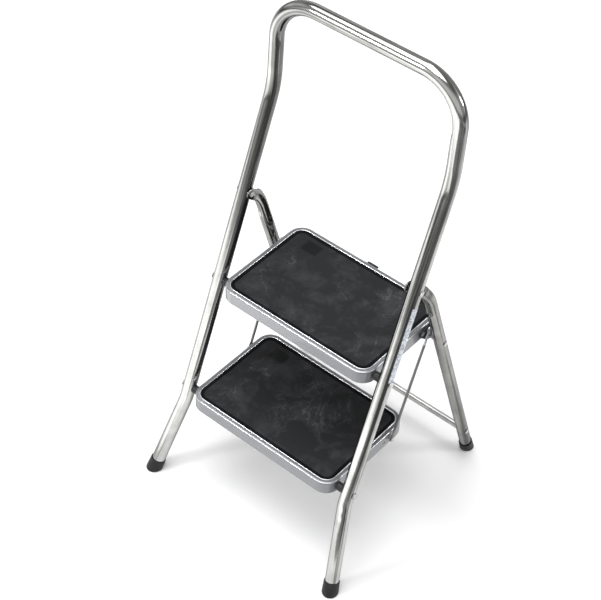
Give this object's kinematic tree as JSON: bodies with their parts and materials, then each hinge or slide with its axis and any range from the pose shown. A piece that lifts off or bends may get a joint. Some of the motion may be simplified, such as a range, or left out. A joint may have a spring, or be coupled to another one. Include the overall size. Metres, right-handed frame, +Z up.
{
  "type": "folding step stool",
  "caption": "Folding two-step steel stool with a tall tubular hoop handrail, rubber-matted steps linked by tie rods, and a hinged rear leg frame held open by hooks and a latch.",
  "frame": {"origin": "on the floor, under the middle of the footprint of the opened stool", "axes": "+X to the right of a user facing the steps, +Y away from the user towards the rear legs, +Z up"},
  "size_m": [0.4544, 0.4572, 0.927],
  "materials": {
    "tube_metal": "satin bright plated steel tube",
    "step_paint": "silver-grey semi-gloss paint",
    "mat_rubber": "black rubber, slightly scuffed",
    "foot_rubber": "matt black rubber",
    "bush_plastic": "matt black plastic",
    "rod_steel": "zinc-plated steel",
    "tie_steel": "dark oiled steel rod",
    "hook_steel": "dark oiled steel",
    "rivet_steel": "bright rivet steel"
  },
  "bodies": {
    "front_frame": {"hoop_handrail": "tube_metal", "front_foot_left": "foot_rubber", "front_foot_right": "foot_rubber", "upper_axle": "rod_steel", "lower_axle": "rod_steel", "upper_bush_left": "bush_plastic", "upper_bush_right": "bush_plastic", "lower_bush_left": "bush_plastic", "lower_bush_right": "bush_plastic", "leg_pivot_rivets": "rivet_steel"},
    "upper_step": {"upper_tray": "step_paint", "upper_mat": "mat_rubber", "hook_plate_left": "hook_steel", "hook_plate_right": "hook_steel", "hook_rivets": "rivet_steel", "upper_tie_pins": "rivet_steel", "latch_bracket": "hook_steel", "latch_pin": "rivet_steel", "latch_spring": "rivet_steel"},
    "lower_step": {"lower_tray": "step_paint", "lower_mat": "mat_rubber", "lower_tie_pins": "rivet_steel"},
    "rear_frame": {"rear_leg_left": "tube_metal", "rear_leg_right": "tube_metal", "rear_cross_rod": "rod_steel", "rear_brace": "rod_steel", "brace_rivets": "rivet_steel", "rear_foot_left": "foot_rubber", "rear_foot_right": "foot_rubber"},
    "tie_rod_left": {"tie_rod_left": "tie_steel"},
    "tie_rod_right": {"tie_rod_right": "tie_steel"},
    "latch": {"latch_lever": "bush_plastic"}
  },
  "joints": [
    {"name": "upper_step_fold", "type": "hinge", "parent": "front_frame", "child": "upper_step", "pos_m": [0, -0.0609, 0.3977], "axis": [1, 0, 0], "range_deg": [0, 64]},
    {"name": "lower_step_fold", "type": "hinge", "parent": "front_frame", "child": "lower_step", "pos_m": [0, -0.14247, 0.1861], "axis": [1, 0, 0], "range_deg": [0, 64]},
    {"name": "rear_frame_fold", "type": "hinge", "parent": "front_frame", "child": "rear_frame", "pos_m": [0, 0.00166, 0.56], "axis": [-1, 0, 0], "range_deg": [0, 36.5]},
    {"name": "tie_rod_left_pivot", "type": "hinge", "parent": "upper_step", "child": "tie_rod_left", "pos_m": [0, 0.0821, 0.3987], "axis": [-1, 0, 0], "range_deg": [0, 64]},
    {"name": "tie_rod_right_pivot", "type": "hinge", "parent": "upper_step", "child": "tie_rod_right", "pos_m": [0, 0.0821, 0.3987], "axis": [-1, 0, 0], "range_deg": [0, 64]},
    {"name": "latch_release", "type": "hinge", "parent": "upper_step", "child": "latch", "pos_m": [0, 0.104, 0.3957], "axis": [1, 0, 0], "range_deg": [0, 9], "stiffness_Nm_per_rad": 0.05, "springref_deg": -17.19}
  ],
  "couplings": [
    {"joint": "lower_step_fold", "follows": "upper_step_fold", "ratio": 1},
    {"joint": "rear_frame_fold", "follows": "upper_step_fold", "ratio": 0.57},
    {"joint": "tie_rod_left_pivot", "follows": "upper_step_fold", "ratio": 1},
    {"joint": "tie_rod_right_pivot", "follows": "upper_step_fold", "ratio": 1}
  ]
}
